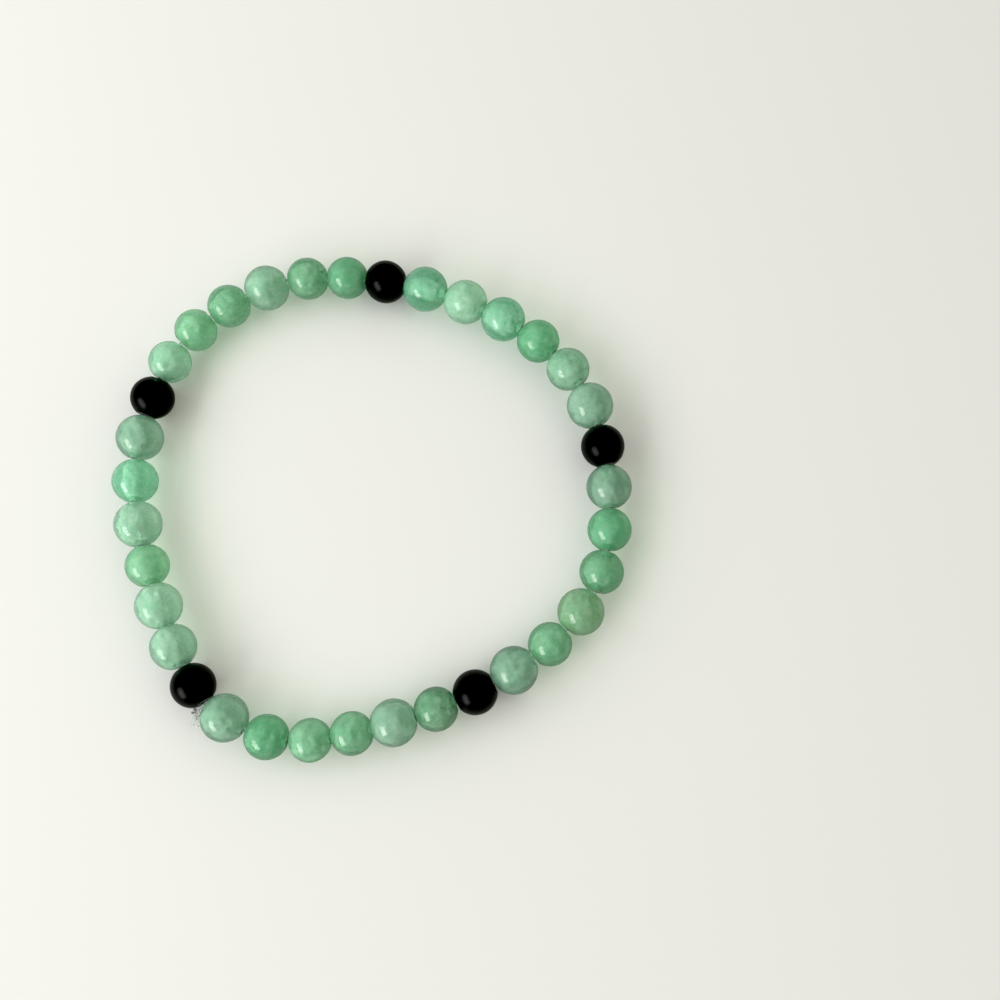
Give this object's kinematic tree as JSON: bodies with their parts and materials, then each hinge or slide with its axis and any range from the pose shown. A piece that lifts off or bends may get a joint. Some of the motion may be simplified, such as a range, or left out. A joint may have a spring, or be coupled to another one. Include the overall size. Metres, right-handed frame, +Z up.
{
  "type": "gemstone bead bracelet",
  "caption": "Stretch bracelet of round polished green stone beads with matte black stone beads between the runs, strung on clear knotted elastic, lying flat.",
  "frame": {"origin": "middle of the ring's outline in plan, on the surface that it lies on", "axes": "+Z up out of the surface and through the wrist opening; +Y to the far side as the bracelet lies, +X to its right"},
  "size_m": [0.0704, 0.069, 0.0063],
  "materials": {
    "polished_green_stone": "polished, cloudy and translucent",
    "matte_black_stone": "matte, tumbled",
    "clear_elastic": "clear, slightly milky"
  },
  "bodies": {
    "root": {"black_bead_1": "matte_black_stone", "green_bead_01": "polished_green_stone", "green_bead_02": "polished_green_stone", "green_bead_03": "polished_green_stone", "green_bead_04": "polished_green_stone", "green_bead_05": "polished_green_stone", "green_bead_06": "polished_green_stone", "black_bead_2": "matte_black_stone", "green_bead_07": "polished_green_stone", "green_bead_08": "polished_green_stone", "green_bead_09": "polished_green_stone", "green_bead_10": "polished_green_stone", "green_bead_11": "polished_green_stone", "green_bead_12": "polished_green_stone", "black_bead_3": "matte_black_stone", "green_bead_13": "polished_green_stone", "green_bead_14": "polished_green_stone", "green_bead_15": "polished_green_stone", "green_bead_16": "polished_green_stone", "green_bead_17": "polished_green_stone", "green_bead_18": "polished_green_stone", "black_bead_4": "matte_black_stone", "green_bead_19": "polished_green_stone", "green_bead_20": "polished_green_stone", "green_bead_21": "polished_green_stone", "green_bead_22": "polished_green_stone", "green_bead_23": "polished_green_stone", "green_bead_24": "polished_green_stone", "black_bead_5": "matte_black_stone", "green_bead_25": "polished_green_stone", "green_bead_26": "polished_green_stone", "green_bead_27": "polished_green_stone", "green_bead_28": "polished_green_stone", "green_bead_29": "polished_green_stone", "green_bead_30": "polished_green_stone", "elastic": "clear_elastic", "elastic_knot": "clear_elastic"}
  },
  "joints": []
}
